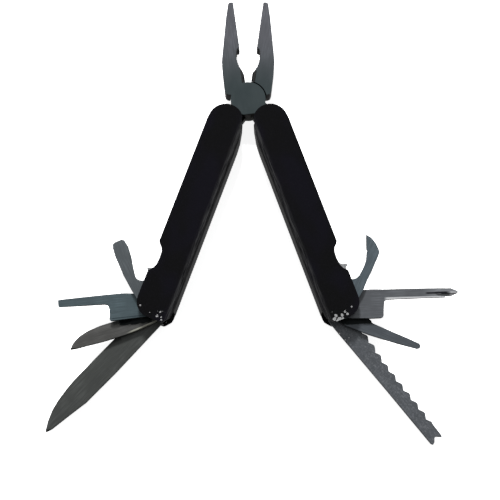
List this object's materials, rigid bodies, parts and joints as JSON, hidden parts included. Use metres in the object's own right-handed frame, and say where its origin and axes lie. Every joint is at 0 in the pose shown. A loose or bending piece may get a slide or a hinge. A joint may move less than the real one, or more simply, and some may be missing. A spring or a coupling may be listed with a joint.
{
  "type": "folding multi tool",
  "caption": "Folding needle-nose pliers whose two channel handles carry fold-out blades, drivers, an opener and a fish scaler.",
  "frame": {"origin": "middle of the bounding box on the back face, which lies on z = 0, with the jaws, handles and tools standing open", "axes": "+Z from the back to the front, +Y towards the jaw tips, +X to the right seen from the front"},
  "size_m": [0.1818, 0.2046, 0.015],
  "materials": {
    "black_coat": "black satin coat with fine speckle, worn pale along the folded spine",
    "forged_steel": "grey ground steel, darker at the pivot disc",
    "blade_steel": "brushed blade steel",
    "tool_steel": "blue-grey brushed steel",
    "bright_steel": "plain bright steel"
  },
  "bodies": {
    "left_jaw": {"left_jaw": "forged_steel", "jaw_rivet": "bright_steel"},
    "right_jaw": {"right_jaw": "forged_steel"},
    "left_handle": {"left_handle": "black_coat", "left_handle_rivet": "bright_steel", "left_handle_rear_spacer": "bright_steel", "left_handle_front_spacer": "bright_steel", "left_tool_pin": "bright_steel", "left_tool_washer_1": "bright_steel", "left_tool_washer_2": "bright_steel", "left_tool_washer_3": "bright_steel", "left_tool_washer_4": "bright_steel", "left_tool_washer_5": "bright_steel", "left_back_spring": "bright_steel", "left_liner": "bright_steel"},
    "right_handle": {"right_handle": "black_coat", "right_handle_rivet": "bright_steel", "right_handle_rear_spacer": "bright_steel", "right_handle_front_spacer": "bright_steel", "right_tool_pin": "bright_steel", "right_tool_washer_1": "bright_steel", "right_tool_washer_2": "bright_steel", "right_tool_washer_3": "bright_steel", "right_tool_washer_4": "bright_steel", "right_tool_washer_5": "bright_steel", "right_back_spring": "bright_steel", "right_liner": "bright_steel"},
    "wide_screwdriver": {"wide_screwdriver": "tool_steel"},
    "long_screwdriver": {"long_screwdriver": "tool_steel"},
    "small_blade": {"small_blade": "blade_steel"},
    "knife_blade": {"knife_blade": "blade_steel"},
    "can_opener": {"can_opener": "tool_steel"},
    "cross_driver": {"cross_driver": "tool_steel"},
    "small_screwdriver": {"small_screwdriver": "tool_steel"},
    "fish_scaler": {"fish_scaler": "blade_steel"}
  },
  "joints": [
    {"name": "jaw_hinge", "type": "hinge", "parent": "left_jaw", "child": "right_jaw", "pos_m": [-0.00233, 0.05371, 0.0087], "axis": [0, 0, -1], "range_deg": [-15.7, 12]},
    {"name": "left_handle_hinge", "type": "hinge", "parent": "right_jaw", "child": "left_handle", "pos_m": [-0.01257, 0.04253, 0.0075], "axis": [0, 0, 1], "range_deg": [-167.9, 0]},
    {"name": "right_handle_hinge", "type": "hinge", "parent": "left_jaw", "child": "right_handle", "pos_m": [0.00791, 0.04253, 0.0075], "axis": [0, 0, -1], "range_deg": [-167.9, 0]},
    {"name": "wide_screwdriver_hinge", "type": "hinge", "parent": "left_handle", "child": "wide_screwdriver", "pos_m": [-0.03935, -0.03924, 0.0075], "axis": [0, 0, 1], "range_deg": [-51, 97]},
    {"name": "long_screwdriver_hinge", "type": "hinge", "parent": "left_handle", "child": "long_screwdriver", "pos_m": [-0.03935, -0.03924, 0.0075], "axis": [0, 0, 1], "range_deg": [-112.8, 64]},
    {"name": "small_blade_hinge", "type": "hinge", "parent": "left_handle", "child": "small_blade", "pos_m": [-0.03935, -0.03924, 0.0075], "axis": [0, 0, 1], "range_deg": [-134, 52]},
    {"name": "knife_blade_hinge", "type": "hinge", "parent": "left_handle", "child": "knife_blade", "pos_m": [-0.03935, -0.03924, 0.0075], "axis": [0, 0, 1], "range_deg": [-154.5, 23.5]},
    {"name": "can_opener_hinge", "type": "hinge", "parent": "right_handle", "child": "can_opener", "pos_m": [0.03469, -0.03924, 0.0075], "axis": [0, 0, -1], "range_deg": [-52.2, 94]},
    {"name": "cross_driver_hinge", "type": "hinge", "parent": "right_handle", "child": "cross_driver", "pos_m": [0.03469, -0.03924, 0.0075], "axis": [0, 0, -1], "range_deg": [-106, 71.5]},
    {"name": "small_screwdriver_hinge", "type": "hinge", "parent": "right_handle", "child": "small_screwdriver", "pos_m": [0.03469, -0.03924, 0.0075], "axis": [0, 0, -1], "range_deg": [-135.6, 49.4]},
    {"name": "fish_scaler_hinge", "type": "hinge", "parent": "right_handle", "child": "fish_scaler", "pos_m": [0.03469, -0.03924, 0.0075], "axis": [0, 0, -1], "range_deg": [-159.5, 20.5]}
  ]
}
